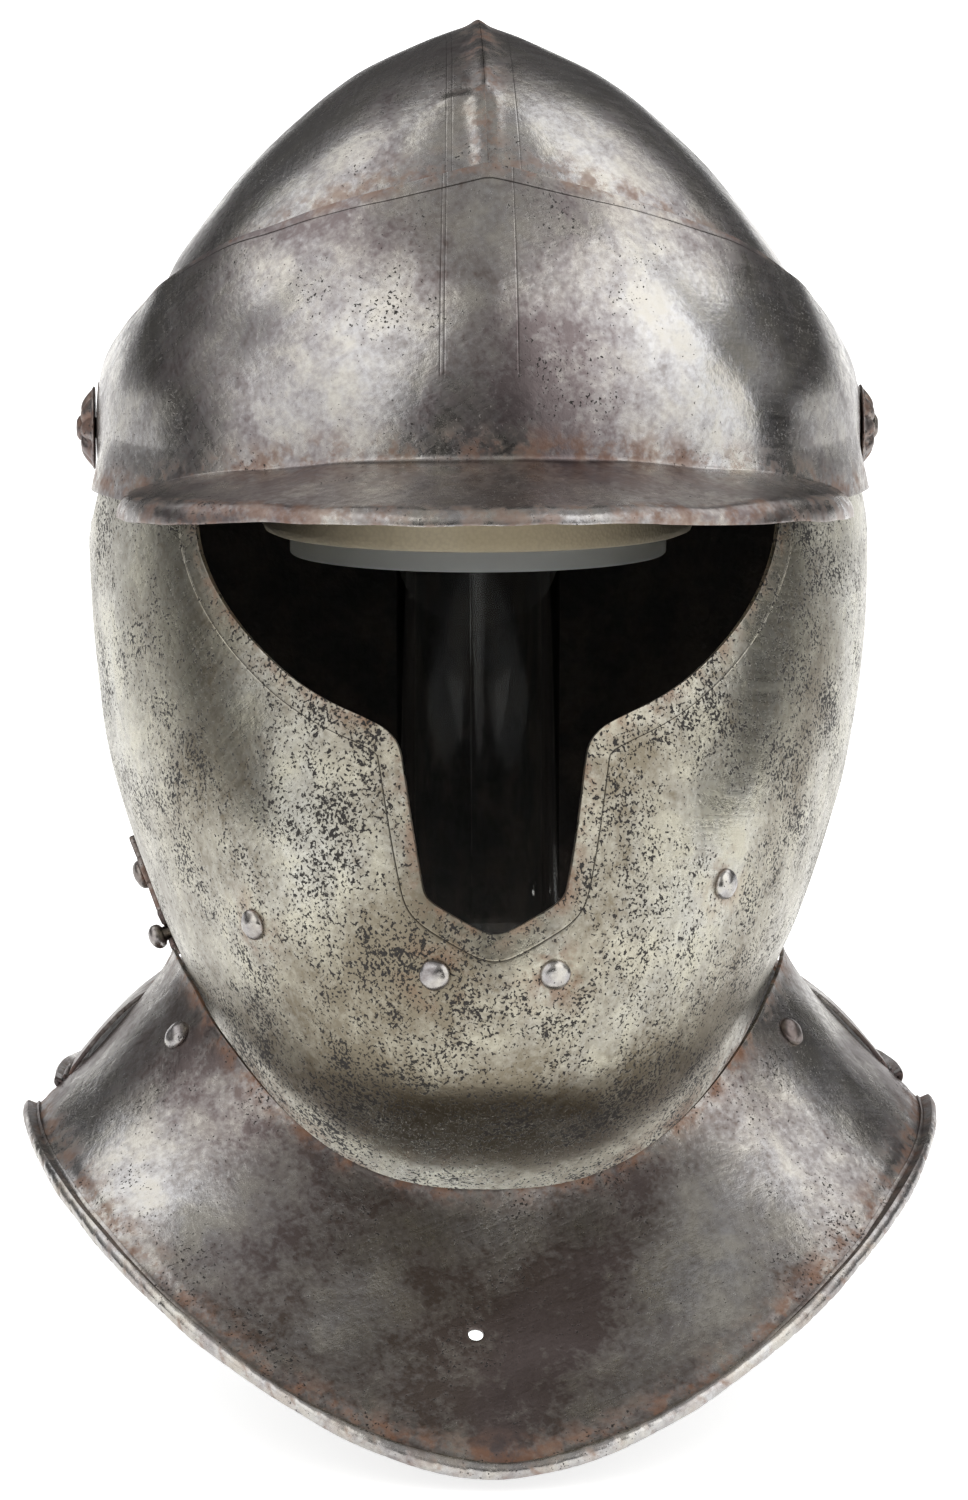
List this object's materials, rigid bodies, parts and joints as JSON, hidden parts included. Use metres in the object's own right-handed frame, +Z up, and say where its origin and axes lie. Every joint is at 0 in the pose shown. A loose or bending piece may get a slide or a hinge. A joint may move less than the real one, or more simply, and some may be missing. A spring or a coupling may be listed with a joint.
{
  "type": "close helmet on display stand",
  "caption": "Steel close helmet with a keeled skull, peaked fall, bevor with a face opening and flared gorget plates, held on a clear display stand with a padded top.",
  "frame": {"origin": "centre of the underside of the stand's foot, on the floor, straight below the middle of the pivot line", "axes": "+X to the wearer's left along the pivot line, -Y the way the helmet faces, +Z up"},
  "size_m": [0.262, 0.3259, 0.3829],
  "materials": {
    "steel": "worn, mottled brown and grey with pitting",
    "rivet_steel": "polished by wear",
    "clear_acrylic": "clear, polished",
    "pad_foam": "matt cream"
  },
  "bodies": {
    "skull": {"skull_right": "steel", "skull_left": "steel", "gorget_rear": "steel", "neck_rivet_right": "rivet_steel", "neck_rivet_left": "rivet_steel", "pivot_right": "rivet_steel", "pivot_left": "rivet_steel", "hook_rivet": "rivet_steel", "stand_foot": "clear_acrylic", "stand_tube": "clear_acrylic", "stand_disc": "clear_acrylic", "stand_pad": "pad_foam"},
    "bevor": {"bevor": "steel", "gorget_front": "steel", "bevor_rivet_side_right": "rivet_steel", "bevor_rivet_front_right": "rivet_steel", "bevor_rivet_front_left": "rivet_steel", "bevor_rivet_side_left": "rivet_steel", "gorget_rivet_right": "rivet_steel", "gorget_rivet_left": "rivet_steel", "hook_stud": "rivet_steel"},
    "fall": {"fall": "steel"},
    "hook": {"swivel_hook": "steel"}
  },
  "joints": [
    {"name": "bevor_hinge", "type": "hinge", "parent": "skull", "child": "bevor", "pos_m": [0, 0, 0.268], "axis": [-1, 0, 0], "range_deg": [0, 42]},
    {"name": "fall_hinge", "type": "hinge", "parent": "bevor", "child": "fall", "pos_m": [0, 0, 0.268], "axis": [-1, 0, 0], "range_deg": [0, 38]},
    {"name": "hook_swivel", "type": "hinge", "parent": "skull", "child": "hook", "pos_m": [-0.09613, 0.014, 0.13684], "axis": [0.9207, 0, 0.3903], "range_deg": [0, 55]}
  ]
}
